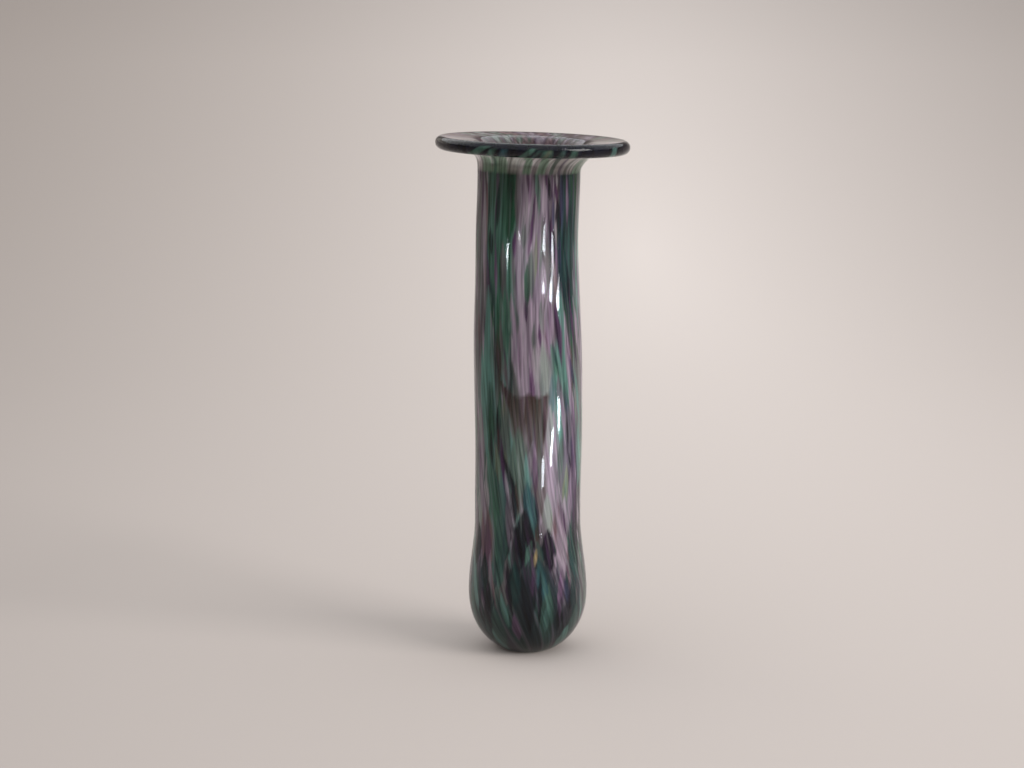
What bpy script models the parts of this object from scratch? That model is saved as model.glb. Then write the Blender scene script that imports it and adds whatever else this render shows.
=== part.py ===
"""Tall hand-blown vase: a clear inner gather, drawn streaks of coloured glass and a clear outer casing.

Metres, +Z up. The origin is the middle of the ground foot, and the photographed front faces -Y.
Every layer follows the outer wall at its own depth. All share one hand-made sway and lip tilt.
"""

import math

import bmesh
import bpy
from mathutils import Vector

MM = 0.001

# Outer form
HEIGHT = 230.0 * MM
FOOT_RADIUS = 11.0 * MM
BULB_RADIUS = 26.7 * MM
BULB_HEIGHT = 27.0 * MM
WAIST_RADIUS = 23.7 * MM
BELLY_RADIUS = 24.1 * MM
NECK_RADIUS = 22.6 * MM
FLARE_RADIUS = 8.5 * MM
LIP_RADIUS = 42.7 * MM
LIP_THICKNESS = 5.8 * MM
BULB_POWER = 2.15  # 2 is a true ellipse, and more is fuller near the foot

# How high each change of the side lies, between the bulb's widest ring and the flare
WAIST_SHARE = 0.18
BELLY_SHARE = 0.55
SHOULDER_SHARE = 0.85

# Layers of the wall, from the outside in
CASING_THICKNESS = 1.2 * MM
STREAK_THICKNESS = 0.6 * MM
LAYER_CLEARANCE = 0.3 * MM
WALL_THICKNESS = 3.5 * MM
BULB_WALL_THICKNESS = 5.9 * MM

# The hollow
FLOOR_HEIGHT = 19.0 * MM
HOLLOW_END_HEIGHT = 15.0 * MM
MOUTH_RADIUS = 9.0 * MM

# What the blower's hand left: how far the axis wanders to +X, and the lip's tilt, lower at +X
BELLY_SWAY = 0.4 * MM
SHOULDER_SWAY = -0.5 * MM
COLLAR_SWAY = 0.45 * MM
LIP_SHIFT = 2.05 * MM
LIP_TILT = math.radians(1.7)
SWAY_BELLY_SHARE = 0.41
SWAY_SHOULDER_SHARE = 0.81

# Streaks of coloured glass, in columns that turn as they climb
STREAK_GAP = 0.5 * MM
BODY_TWIST = math.radians(80.0)
BODY_TWIST_SHARE = 0.65
LIP_TWIST = math.radians(22.0)
LIP_TWIST_SHARE = 0.86
COLUMN_WAVE = math.radians(2.2)
COLUMN_WAVES = 2.5
WAVE_PHASE = 2.4
TAPER_SHARE = 0.05
POINT_WIDTH_SHARE = 0.22
FIRST_COLUMN_ANGLE = math.radians(-100.0)

# Shares of the wall's length, from the foot's middle to the lip: where the columns start, taking turns,
# and how far a streak stops short of the place where it gives way to the next
START_SHARES = (0.05, 0.07, 0.045, 0.06, 0.08)
BREAK_SHARE = 0.006

# One row for each column, from the left edge of the front round to the right and on round the back:
# the column's share of the turn, then each streak's glass and the place where it ends, from the foot up
COLUMN_SHARES = (
    (0.055, (("amethyst", 0.31), ("emerald", 0.6), ("indigo", 0.965))),
    (0.05, (("emerald", 0.35), ("opal", 0.63), ("amethyst", 0.975))),
    (0.055, (("indigo", 0.27), ("teal", 0.61), ("emerald", 0.96))),
    (0.045, (("teal", 0.31), ("smoke", 0.46), ("opal", 0.59), ("emerald", 0.975))),
    (0.04, (("indigo", 0.25), ("smoke", 0.49), ("emerald", 0.965))),
    (0.055, (("opal", 0.3), ("smoke", 0.47), ("amethyst", 0.66), ("opal", 0.97))),
    (0.045, (("indigo", 0.28), ("opal", 0.7), ("emerald", 0.96))),
    (0.05, (("emerald", 0.33), ("amethyst", 0.67), ("indigo", 0.975))),
    (0.05, (("amethyst", 0.26), ("opal", 0.58), ("indigo", 0.965))),
    (0.055, (("teal", 0.32), ("emerald", 0.65), ("teal", 0.97))),
    (0.055, (("opal", 0.29), ("indigo", 0.56), ("emerald", 0.96))),
    (0.055, (("indigo", 0.44), ("amethyst", 0.975))),
    (0.055, (("emerald", 0.34), ("teal", 0.68), ("opal", 0.965))),
    (0.055, (("amethyst", 0.52), ("indigo", 0.97))),
    (0.055, (("teal", 0.3), ("emerald", 0.59), ("teal", 0.96))),
    (0.055, (("opal", 0.47), ("amethyst", 0.975))),
    (0.055, (("indigo", 0.33), ("opal", 0.64), ("emerald", 0.965))),
    (0.055, (("emerald", 0.5), ("indigo", 0.97))),
    (0.06, (("teal", 0.28), ("amethyst", 0.57), ("opal", 0.96))),
)

# Colour, roughness and how much light passes
GLASSES = {
    "clear": ((0.86, 0.88, 0.87), 0.03, 0.95),
    "emerald": ((0.03, 0.17, 0.09), 0.08, 0.35),
    "teal": ((0.05, 0.16, 0.15), 0.08, 0.35),
    "amethyst": ((0.16, 0.05, 0.17), 0.08, 0.4),
    "opal": ((0.52, 0.4, 0.47), 0.12, 0.3),
    "indigo": ((0.015, 0.015, 0.04), 0.08, 0.2),
    "smoke": ((0.13, 0.09, 0.08), 0.1, 0.3),
}

# Fineness of the mesh: how far a flat side may cut in, as a share of the gap between two layers, and counts
LIP_FACET_SHARE = 0.55
WALL_FACET_SHARE = 0.5
BULB_STEPS = 6
WAIST_STEPS = 4
SIDE_STEPS = 7
FLARE_STEPS = 5
LIP_STEPS = 6
STATION_SPACING = 11.0 * MM
MERGE_DISTANCE = 0.01 * MM

QUARTER = math.pi / 2


def eased(low, high, t):
    """low at t 0 and high at t 1, level at both ends."""
    t = min(max(t, 0.0), 1.0)
    return low + (high - low) * t * t * (3 - 2 * t)


def through_knots(knots, place):
    """The value at place of a smooth run through (place, value) knots, level beyond both ends."""
    for (low, low_value), (high, high_value) in zip(knots, knots[1:]):
        if place <= high:
            return eased(low_value, high_value, (place - low) / (high - low))
    return knots[-1][1]


def facet_angle(radius, share):
    """The widest angle that one flat side of this radius may span and stay clear of the next layer."""
    return 2 * math.acos(1 - share * LAYER_CLEARANCE / radius)


SIDES = math.ceil(2 * math.pi / facet_angle(LIP_RADIUS, LIP_FACET_SHARE))
UNDERSIDE = HEIGHT - LIP_THICKNESS
FLARE_START = UNDERSIDE - FLARE_RADIUS


def side_height(share):
    """The height at a share of the way from the bulb's widest ring to the flare."""
    return BULB_HEIGHT + (FLARE_START - BULB_HEIGHT) * share


SIDE_KNOTS = (
    (BULB_HEIGHT, BULB_RADIUS),
    (side_height(WAIST_SHARE), WAIST_RADIUS),
    (side_height(BELLY_SHARE), BELLY_RADIUS),
    (side_height(SHOULDER_SHARE), NECK_RADIUS),
)
SWAY_KNOTS = (
    (0.0, 0.0),
    (side_height(WAIST_SHARE), 0.0),
    (side_height(SWAY_BELLY_SHARE), BELLY_SWAY),
    (side_height(SWAY_SHOULDER_SHARE), SHOULDER_SWAY),
    (FLARE_START, COLLAR_SWAY),
    (UNDERSIDE, LIP_SHIFT),
)
TILT_KNOTS = (
    (0.0, 0.0),
    (side_height(SHOULDER_SHARE), 0.0),
    (UNDERSIDE, LIP_TILT),
)


def bulb_radius(height):
    """The radius below the bulb's widest ring, where the foot is ground flat off a rounded end."""
    foot_ratio = (FOOT_RADIUS / BULB_RADIUS) ** BULB_POWER
    full_depth = BULB_HEIGHT / (1 - foot_ratio) ** (1 / BULB_POWER)
    depth_ratio = (BULB_HEIGHT - height) / full_depth
    return BULB_RADIUS * (1 - depth_ratio**BULB_POWER) ** (1 / BULB_POWER)


def outer_radius(height):
    return bulb_radius(height) if height < BULB_HEIGHT else through_knots(SIDE_KNOTS, height)


def side_shares():
    """The shares of the side that get a ring of points, which lie closer together below the waist."""
    lower = [WAIST_SHARE * k / WAIST_STEPS for k in range(WAIST_STEPS)]
    return lower + [WAIST_SHARE + (1 - WAIST_SHARE) * k / SIDE_STEPS for k in range(SIDE_STEPS)]


def arc(centre, radius, start, end, steps):
    """Points on an arc about centre (radius, height), with both ends."""
    angles = (start + (end - start) * k / steps for k in range(steps + 1))
    return [centre + radius * Vector((math.cos(a), math.sin(a))) for a in angles]


def outer_wall():
    """The outer wall as (radius, height) points: from the foot's middle, up the side, out under the lip."""
    points = [Vector((0.0, 0.0))]
    for k in range(BULB_STEPS):
        height = BULB_HEIGHT * (1 - math.cos(QUARTER * k / BULB_STEPS))
        points.append(Vector((outer_radius(height), height)))
    for share in side_shares():
        height = side_height(share)
        points.append(Vector((outer_radius(height), height)))
    flare_centre = Vector((NECK_RADIUS + FLARE_RADIUS, FLARE_START))
    points += arc(flare_centre, FLARE_RADIUS, math.pi, QUARTER, FLARE_STEPS)
    points.append(Vector((LIP_RADIUS - LIP_THICKNESS / 2, UNDERSIDE)))
    return points


def inset(points, depth):
    """The same run of points, moved into the glass by depth. The first point stays on the axis."""
    moved = []
    for k, point in enumerate(points):
        before = points[max(k - 1, 0)]
        after = points[min(k + 1, len(points) - 1)]
        first = (point - before).normalized() if k else (after - point).normalized()
        second = (after - point).normalized() if k < len(points) - 1 else first
        normals = [Vector((-run.y, run.x)) for run in (first, second)]
        middle = (normals[0] + normals[1]).normalized()
        moved.append(point + middle * depth / middle.dot(normals[0]))
    return moved


LIP_CENTRE = Vector((LIP_RADIUS - LIP_THICKNESS / 2, HEIGHT - LIP_THICKNESS / 2))
CASING_EDGE = LIP_RADIUS - CASING_THICKNESS
GATHER_EDGE = CASING_EDGE - LAYER_CLEARANCE
STREAK_DEPTH = CASING_THICKNESS + LAYER_CLEARANCE + STREAK_THICKNESS / 2
GATHER_DEPTH = CASING_THICKNESS + STREAK_THICKNESS + 2 * LAYER_CLEARANCE


def lip_angle(radius):
    """The angle on the lip's rounded edge at which its upper side has this radius."""
    return math.acos((radius - LIP_CENTRE.x) / (LIP_THICKNESS / 2))


def hollow_wall():
    """The inside of the vase, from the middle of its floor up to the flat top of the lip."""
    shoulder = FLOOR_HEIGHT + HOLLOW_END_HEIGHT
    waist = side_height(WAIST_SHARE)

    def hollow_radius(height):
        wall = eased(BULB_WALL_THICKNESS, WALL_THICKNESS, (height - shoulder) / (waist - shoulder))
        return outer_radius(height) - wall

    points = []
    for k in range(BULB_STEPS):
        turn = QUARTER * k / BULB_STEPS
        rise = HOLLOW_END_HEIGHT * (1 - math.cos(turn))
        points.append(Vector((hollow_radius(shoulder) * math.sin(turn), FLOOR_HEIGHT + rise)))
    mouth_start = HEIGHT - MOUTH_RADIUS
    for share in side_shares():
        height = shoulder + (mouth_start - shoulder) * share
        points.append(Vector((hollow_radius(height), height)))
    mouth_centre = Vector((hollow_radius(mouth_start) + MOUTH_RADIUS, mouth_start))
    return points + arc(mouth_centre, MOUTH_RADIUS, math.pi, QUARTER, FLARE_STEPS)


def casing_profile():
    """The clear outer casing: up its inner side, over the lip's edge, and down the outer wall."""
    wall = outer_wall()
    inner = inset(wall, CASING_THICKNESS)
    inner[-1] = Vector((CASING_EDGE, inner[-1].y))
    edge = arc(LIP_CENTRE, LIP_THICKNESS / 2, lip_angle(CASING_EDGE), -QUARTER, LIP_STEPS)
    return inner + edge + wall[-2::-1]


def gather_profile():
    """The clear inner gather: up the hollow, out along the lip's flat top, and down beside the streaks."""
    outside = inset(outer_wall(), GATHER_DEPTH)
    outside[-1] = Vector((GATHER_EDGE, outside[-1].y))
    edge = arc(LIP_CENTRE, LIP_THICKNESS / 2, QUARTER, lip_angle(GATHER_EDGE), LIP_STEPS // 2)
    return hollow_wall() + edge + outside[::-1]


def hand_made(point):
    """Where a point of the true turned form lies on the hand-made vase."""
    middle = through_knots(SWAY_KNOTS, point.z)
    tilt = through_knots(TILT_KNOTS, point.z)
    return Vector((point.x + middle, point.y, point.z - point.x * math.tan(tilt)))


def glass_material(name):
    colour, roughness, passes = GLASSES[name]
    material = bpy.data.materials.get(name) or bpy.data.materials.new(name)
    material.use_nodes = True
    shader = material.node_tree.nodes["Principled BSDF"]
    shader.inputs["Base Color"].default_value = (*colour, 1.0)
    shader.inputs["Roughness"].default_value = roughness
    shader.inputs["Metallic"].default_value = 0.0
    shader.inputs["IOR"].default_value = 1.5
    shader.inputs["Transmission Weight"].default_value = passes
    return material


def evaluated_mesh(source):
    """A plain mesh of an object with its modifiers applied. The object is removed."""
    graph = bpy.context.evaluated_depsgraph_get()
    mesh = bpy.data.meshes.new_from_object(source.evaluated_get(graph))
    bpy.data.objects.remove(source)
    return mesh


def glass_piece(name, mesh, glass):
    """A finished piece: its mesh gets the hand-made form, smooth shading and its glass."""
    for vertex in mesh.vertices:
        vertex.co = hand_made(vertex.co)
    mesh.materials.clear()
    mesh.materials.append(glass_material(glass))
    mesh.shade_smooth()
    mesh.set_sharp_from_angle(angle=math.radians(30.0))
    piece = bpy.data.objects.new(name, mesh)
    VASE.objects.link(piece)
    return piece


def turned(name, profile, glass):
    """A piece turned about the vase's axis from a profile that starts and ends on it."""
    mesh = bpy.data.meshes.new(name)
    edges = [(k, k + 1) for k in range(len(profile) - 1)]
    mesh.from_pydata([(point.x, 0.0, point.y) for point in profile], edges, [])
    blank = bpy.data.objects.new(name + "_blank", mesh)
    VASE.objects.link(blank)
    screw = blank.modifiers.new("turn", "SCREW")
    screw.steps = SIDES
    screw.render_steps = SIDES
    screw.use_merge_vertices = True
    screw.merge_threshold = MERGE_DISTANCE
    return glass_piece(name, evaluated_mesh(blank), glass)


class StreakPath:
    """The line that the streaks follow through the wall, by the share of its length from its foot."""

    def __init__(self):
        self.points = inset(outer_wall(), STREAK_DEPTH)
        self.points[-1] = Vector((GATHER_EDGE, self.points[-1].y))
        self.shares = [0.0]
        for first, second in zip(self.points, self.points[1:]):
            self.shares.append(self.shares[-1] + (second - first).length)
        self.length = self.shares[-1]
        self.shares = [run / self.length for run in self.shares]

    def at(self, share):
        """(radius, height) at a share of the length."""
        for k in range(1, len(self.shares)):
            if share <= self.shares[k]:
                break
        along = (share - self.shares[k - 1]) / (self.shares[k] - self.shares[k - 1])
        return self.points[k - 1].lerp(self.points[k], along)

    def stations(self, start, end):
        """The shares of a streak's rows of points: its ends, the wall's corners, and more in long runs."""
        corners = [start] + [share for share in self.shares if start < share < end] + [end]
        rows = [start]
        for low, high in zip(corners, corners[1:]):
            count = max(math.ceil((high - low) * self.length / STATION_SPACING), 1)
            rows += [low + (high - low) * k / count for k in range(1, count + 1)]
        return rows


def column_edge(column, share):
    """The angle of the edge between this column and the last, which winds and waves as it climbs."""
    widths = [width for width, _ in COLUMN_SHARES]
    turn = 2 * math.pi * sum(widths[:column]) / sum(widths)
    lean = BODY_TWIST * (1 - min(share / BODY_TWIST_SHARE, 1.0)) ** 2
    lean += eased(0.0, LIP_TWIST, (share - LIP_TWIST_SHARE) / (1 - LIP_TWIST_SHARE))
    phase = WAVE_PHASE * (column % len(COLUMN_SHARES))
    wave = COLUMN_WAVE * math.sin(2 * math.pi * COLUMN_WAVES * share + phase)
    return FIRST_COLUMN_ANGLE + turn + lean + wave


def streak(name, path, column, start, end, glass):
    """One drawn streak: a strip that fills its column from start to end, narrow at both ends."""
    stations = path.stations(start, end)
    widest = max(column_edge(column + 1, share) - column_edge(column, share) for share in stations)
    steps_across = math.ceil(widest / facet_angle(BULB_RADIUS, WALL_FACET_SHARE))
    sheet = bmesh.new()
    bmesh.ops.create_grid(sheet, x_segments=steps_across, y_segments=len(stations) - 1, size=0.5)
    for vertex in sheet.verts:
        across = vertex.co.x + 0.5
        share = stations[round((vertex.co.y + 0.5) * (len(stations) - 1))]
        place = path.at(share)
        width = eased(POINT_WIDTH_SHARE, 1.0, min(share - start, end - share) / TAPER_SHARE)
        left, right = column_edge(column, share), column_edge(column + 1, share)
        half = ((right - left) - STREAK_GAP / place.x) / 2 * width
        angle = (left + right) / 2 + half * (2 * across - 1)
        vertex.co = (place.x * math.sin(angle), -place.x * math.cos(angle), place.y)
    mesh = bpy.data.meshes.new(name)
    sheet.to_mesh(mesh)
    sheet.free()
    blank = bpy.data.objects.new(name + "_blank", mesh)
    VASE.objects.link(blank)
    thick = blank.modifiers.new("thickness", "SOLIDIFY")
    thick.thickness = STREAK_THICKNESS
    thick.offset = 0.0
    return glass_piece(name, evaluated_mesh(blank), glass)


def streaks():
    """Every streak, column by column and from the foot up, numbered within its colour."""
    path = StreakPath()
    made = {}
    for column, (_, run) in enumerate(COLUMN_SHARES):
        start = START_SHARES[column % len(START_SHARES)]
        for glass, end in run:
            made[glass] = made.get(glass, 0) + 1
            name = f"{glass}_streak_{made[glass]:02d}"
            streak(name, path, column, start + BREAK_SHARE, end - BREAK_SHARE, glass)
            start = end


for leftover in list(bpy.data.objects):
    bpy.data.objects.remove(leftover)
VASE = bpy.data.collections.new("art_glass_vase")
bpy.context.scene.collection.children.link(VASE)

turned("outer_casing", casing_profile(), "clear")
turned("inner_gather", gather_profile(), "clear")
streaks()
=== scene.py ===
"""Tall hand-blown vase as photographed: streaks of coloured glass, cased in clear glass, on a pale sweep.

Metres, +Z up. The middle of the ground foot is the origin, and the photographed front faces -Y.
"""

import math

import bpy
import numpy as np
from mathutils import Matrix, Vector


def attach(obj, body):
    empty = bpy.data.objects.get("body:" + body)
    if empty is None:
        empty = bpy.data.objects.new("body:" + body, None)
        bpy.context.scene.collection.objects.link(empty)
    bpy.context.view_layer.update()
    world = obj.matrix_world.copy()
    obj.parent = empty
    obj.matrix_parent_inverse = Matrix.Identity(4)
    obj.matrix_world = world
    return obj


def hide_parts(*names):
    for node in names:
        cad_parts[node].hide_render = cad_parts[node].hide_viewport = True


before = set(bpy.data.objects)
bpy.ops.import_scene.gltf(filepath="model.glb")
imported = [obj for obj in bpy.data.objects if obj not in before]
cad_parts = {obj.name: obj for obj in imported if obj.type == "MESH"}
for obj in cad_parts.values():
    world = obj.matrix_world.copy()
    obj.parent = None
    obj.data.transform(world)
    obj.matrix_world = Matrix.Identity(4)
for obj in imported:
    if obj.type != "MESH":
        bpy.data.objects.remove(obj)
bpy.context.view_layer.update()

MM = 0.001

# The vase's form, as in the CAD source
HEIGHT = 230.0 * MM
FOOT_RADIUS = 11.0 * MM
BULB_RADIUS = 26.7 * MM
BULB_HEIGHT = 27.0 * MM
WAIST_RADIUS = 23.7 * MM
BELLY_RADIUS = 24.1 * MM
NECK_RADIUS = 22.6 * MM
FLARE_RADIUS = 8.5 * MM
LIP_RADIUS = 42.7 * MM
LIP_THICKNESS = 5.8 * MM
BULB_POWER = 2.15
WAIST_SHARE = 0.18
BELLY_SHARE = 0.55
SHOULDER_SHARE = 0.85
WALL_THICKNESS = 3.5 * MM
BULB_WALL_THICKNESS = 5.9 * MM
FLOOR_HEIGHT = 19.0 * MM
HOLLOW_END_HEIGHT = 15.0 * MM
MOUTH_RADIUS = 9.0 * MM
BELLY_SWAY = 0.4 * MM
SHOULDER_SWAY = -0.5 * MM
COLLAR_SWAY = 0.45 * MM
LIP_SHIFT = 2.05 * MM
LIP_TILT = math.radians(1.7)
SWAY_BELLY_SHARE = 0.41
SWAY_SHOULDER_SHARE = 0.81

# How the top of the lip sinks towards the mouth. It is too slight for the CAD source.
DISH_START = 39.0 * MM
DISH_END = 24.0 * MM
DISH_DEPTH = 1.15 * MM

# How the colour lies in the wall, and how it winds
COLOUR_DEPTH = 1.8 * MM
COLOUR_THICKNESS = 0.6 * MM
COLOUR_EDGE = 39.8 * MM
ROLL_RADIUS = 2.4 * MM
BODY_TWIST = math.radians(80.0)
BODY_TWIST_SHARE = 0.65
LIP_TWIST = math.radians(22.0)
LIP_TWIST_SHARE = 0.92

# Waves that bend the streaks: depth in radians, waves round the vase, radians over its length, and phase
WARPS = (
    (0.016, 3, 19, 1.0),
    (0.010, 7, -33, 2.0),
)
SEED = 11

# Fineness of the meshes
CLEAR_SIDES = 192
COLOUR_SIDES = 336
CLEAR_STEP = 1.0 * MM
COLOUR_STEP = 1.25 * MM
LIP_STEP = 0.45 * MM
INNER_ROW_STEP = 3
ARC_STEPS = 60
CURVE_STEPS = 120
SIDE_STEPS = 600
SAME_PLACE = 1e-9

# Waves of the blown surface: depth in mm, waves round the vase, radians per metre up it, and phase.
# They die out over these lengths at the foot and at the lip
RIPPLES = (
    (0.05, 3, 55, 0.4),
    (0.05, 5, -90, 2.1),
    (0.03, 9, 160, 4.0),
)
RIPPLE_FOOT_FADE = 14.0 * MM
RIPPLE_LIP_FADE = 8.0 * MM

# Coloured glasses: linear colour
GLASSES = {
    "opal": (0.54, 0.43, 0.53),
    "pearl": (0.72, 0.64, 0.69),
    "mist": (0.50, 0.55, 0.52),
    "ash": (0.22, 0.195, 0.205),
    "emerald": (0.115, 0.255, 0.190),
    "forest": (0.012, 0.085, 0.040),
    "sage": (0.135, 0.190, 0.160),
    "spruce": (0.070, 0.145, 0.125),
    "teal": (0.20, 0.44, 0.38),
    "deep_teal": (0.012, 0.045, 0.048),
    "lagoon": (0.045, 0.130, 0.155),
    "aqua": (0.18, 0.29, 0.31),
    "amethyst": (0.27, 0.14, 0.27),
    "plum": (0.105, 0.042, 0.115),
    "rose": (0.27, 0.15, 0.17),
    "taupe": (0.195, 0.155, 0.205),
    "maroon": (0.090, 0.035, 0.045),
    "indigo": (0.006, 0.006, 0.014),
    "navy": (0.045, 0.050, 0.110),
    "olive": (0.25, 0.28, 0.18),
    "smoke": (0.135, 0.100, 0.090),
    "umber": (0.070, 0.036, 0.032),
    # gold is a painted glint: a small golden highlight on the bulb, laid as glass
    "gold": (0.80, 0.60, 0.30),
    # cream: the flare's pale glass, made paler still with painted light
    "cream": (0.92, 0.84, 0.80),
    # celadon: green glass made pale with painted light, for the streaks on the flare
    "celadon": (0.31, 0.52, 0.35),
}

# Threads of other glass drawn out in each: the glass, its share of the threads, and how strong it is.
# Their lengths and widths are in mm, and their slant to the flow is in degrees
THREADS = {
    "opal": (("amethyst", 0.3, 0.9), ("plum", 0.22, 0.95), ("pearl", 0.24, 0.7), ("sage", 0.24, 0.9)),
    "pearl": (("amethyst", 0.35, 0.6), ("opal", 0.35, 0.7), ("plum", 0.1, 0.6), ("mist", 0.2, 0.5)),
    "mist": (("sage", 0.4, 0.6), ("opal", 0.3, 0.6), ("pearl", 0.3, 0.6)),
    "ash": (("plum", 0.4, 0.6), ("opal", 0.3, 0.5), ("emerald", 0.3, 0.6)),
    "emerald": (("forest", 0.5, 0.8), ("teal", 0.25, 0.6), ("plum", 0.15, 0.7), ("opal", 0.1, 0.5)),
    "forest": (("emerald", 0.5, 0.6), ("indigo", 0.3, 0.7), ("opal", 0.2, 0.3)),
    "sage": (("emerald", 0.4, 0.6), ("mist", 0.25, 0.5), ("taupe", 0.35, 0.6)),
    "spruce": (("deep_teal", 0.4, 0.7), ("teal", 0.4, 0.5), ("navy", 0.2, 0.6)),
    "teal": (("emerald", 0.35, 0.5), ("deep_teal", 0.3, 0.5), ("mist", 0.2, 0.4), ("forest", 0.15, 0.6)),
    "deep_teal": (("spruce", 0.5, 0.6), ("indigo", 0.35, 0.7), ("plum", 0.15, 0.6)),
    "lagoon": (("deep_teal", 0.5, 0.6), ("teal", 0.5, 0.5)),
    "aqua": (("mist", 0.5, 0.6), ("lagoon", 0.5, 0.6)),
    "amethyst": (("plum", 0.4, 0.8), ("opal", 0.4, 0.6), ("indigo", 0.1, 0.8), ("emerald", 0.1, 0.6)),
    "plum": (("amethyst", 0.6, 0.6), ("indigo", 0.4, 0.6)),
    "rose": (("plum", 0.5, 0.6), ("opal", 0.5, 0.5)),
    "taupe": (("opal", 0.5, 0.4), ("plum", 0.5, 0.5)),
    "maroon": (("plum", 0.5, 0.5), ("umber", 0.5, 0.5)),
    "indigo": (("deep_teal", 0.6, 0.5), ("plum", 0.4, 0.5)),
    "navy": (("indigo", 0.6, 0.6), ("plum", 0.4, 0.6)),
    "olive": (("emerald", 0.5, 0.6), ("opal", 0.3, 0.6), ("forest", 0.2, 0.6)),
    "smoke": (("taupe", 0.4, 0.5), ("umber", 0.35, 0.6), ("sage", 0.25, 0.5)),
    "umber": (("smoke", 0.6, 0.5), ("plum", 0.4, 0.5)),
    "gold": (("smoke", 1.0, 0.3),),
}
THREAD_COUNT = 1900
THREAD_LENGTHS = (10, 45)
THREAD_WIDTHS = (0.5, 1.3)
THREAD_SLANT = 2.0
THREAD_STRENGTHS = (0.5, 1.1)
THREAD_SHADES = (0.7, 1.3)
THREAD_WIND = 0.5
THREAD_FEATHER = 0.3 * MM
FRONT_THREAD_STRENGTH = 0.5
BULB_THREAD_STRENGTH = 0.3
FRONT_HALF_ANGLE = math.radians(75)

# Edges of the streaks: how soft they are, at least and as a share of the width, and how frayed, at least
# and by the width. A streak with a high power stays wide nearly to its tips
STREAK_EDGE = 0.45 * MM
SOFT_EDGE_SHARE = 0.13
FRAY = 0.15
FRAY_SHARE = 0.1
TAPER_POWER = 1.5

# How a CAD streak is painted: its length and width beside the CAD's, how strong it is, and its frayed edge
CAD_STREAK_STRETCH = 1.35
CAD_STREAK_SPREAD = 2.1
CAD_STREAK_STRENGTH = 0.85
CAD_STREAK_FEATHER = 1.6 * MM

# Dark glass round the bulb: its upper edge, how clouded and how soft that is, and how strong it is
DARK_BULB_HEIGHT = 36.0 * MM
DARK_BULB_CLOUDS = 9.0 * MM
DARK_BULB_EDGE = 8.0 * MM
DARK_BULB_STRENGTH = 0.75

# The colour darkens to this share of itself from one height down to the other
BOTTOM_SHADE = 0.5
BOTTOM_SHADE_LOW = 4.0 * MM
BOTTOM_SHADE_HIGH = 40.0 * MM

# The smoky patch on the front, a painted dark reflection of the inside: heights in mm, and angles from the
# front in degrees. It is widest at its top edge, which climbs to the left of an angle, and it narrows and
# drifts to the right on its way down
SMOKE_TOP = 119.5
SMOKE_RISE = 9.5
SMOKE_RISE_ANGLE = 14.0
SMOKE_RISE_SPAN = 20.0
SMOKE_WAVE = 0.7
SMOKE_WAVE_SPAN = 3.5
SMOKE_MIDDLE = -6.0
SMOKE_DRIFT = 13.0
SMOKE_HALF_WIDTH = 29.0
SMOKE_NARROWING = 19.0
SMOKE_FEATHER = 5.0
SMOKE_CLOUDS = 3.0
SMOKE_EDGE = 5.0
SMOKE_TOP_SHARPNESS = 30.0
SMOKE_LENGTH = 34.0 * MM
SMOKE_FADE_START = 0.3
SMOKE_FADE_FEATHER = 0.25
UMBER_STRENGTH = 0.85
UMBER_FADE_LEAD = 0.1
UMBER_FADE_SHARE = 0.45
UMBER_FADE_FEATHER = 0.35

# The flare under the lip: where it starts and ends, its cream, its dark line, how clear it is on its outer
# side
# and on its inner side, and its streaks: the glass, its angle in degrees from each face, and its width in mm.
# The cream is partly the flare's own pale glass and partly painted light, for the light that shines through
# the thin flare, and the celadon of its green streaks is made paler with that painted light too. The dark
# line is a painted dark reflection round the flare's bend
FLARE_LEAD = 0.5 * MM
FLARE_START_FADE = 2.5 * MM
FLARE_END = 26.5 * MM
FLARE_END_FADE = 3.0 * MM
FLARE_STRENGTH = 0.9
FLARE_CREAM = 0.72
FLARE_CREAM_FEATHER = 0.2
FLARE_LINE_HEIGHT = 219.6 * MM
FLARE_LINE_HALF = 1.2 * MM
FLARE_LINE_STRENGTH = 0.35
FLARE_LINE_COVER = 0.6
FLARE_PALE = (0.25, 0.65)
FLARE_CLARITY = 0.1
INNER_CLARITY = 0.85
NEAR_HALF_REACH = 0.6
FLARE_FACES = (0, 120, 240)
FLARE_STREAKS = (
    ("celadon", -56, 5.6),
    ("celadon", -38, 7.4),
    ("emerald", -43, 1.6),
    ("celadon", -4, 3.2),
    ("celadon", 12, 3.4),
    ("sage", 26, 2.4),
    ("taupe", 37, 2.0),
)

# The top of the lip: the glasses that its streaks run through, their length and width, and how they darken
# towards the mouth, which is maroon below a height. The darkening is painted shade, the lightening towards
# the bead painted light, and the maroon deep in the mouth is painted shade
LIP_GLASSES = (
    "indigo", "emerald", "mist", "forest", "rose", "maroon", "plum", "opal", "maroon", "sage", "mist",
)
LIP_STREAK_LENGTH = 30.0 * MM
LIP_STREAK_WIDTH = 1.3 * MM
LIP_CONTRAST = 0.45
LIP_LIGHT = 1.4
MOUTH_LIGHT = 0.3
MOUTH_LIGHT_RADIUS = 24.0 * MM
LIP_LIGHT_RADIUS = 36.0 * MM
MOUTH_LEAD = 3.0 * MM
MOUTH_SHADE = 0.25
MOUTH_SHADE_HEIGHT = 222.5 * MM
MOUTH_SHADE_FADE = 3.0 * MM

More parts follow.
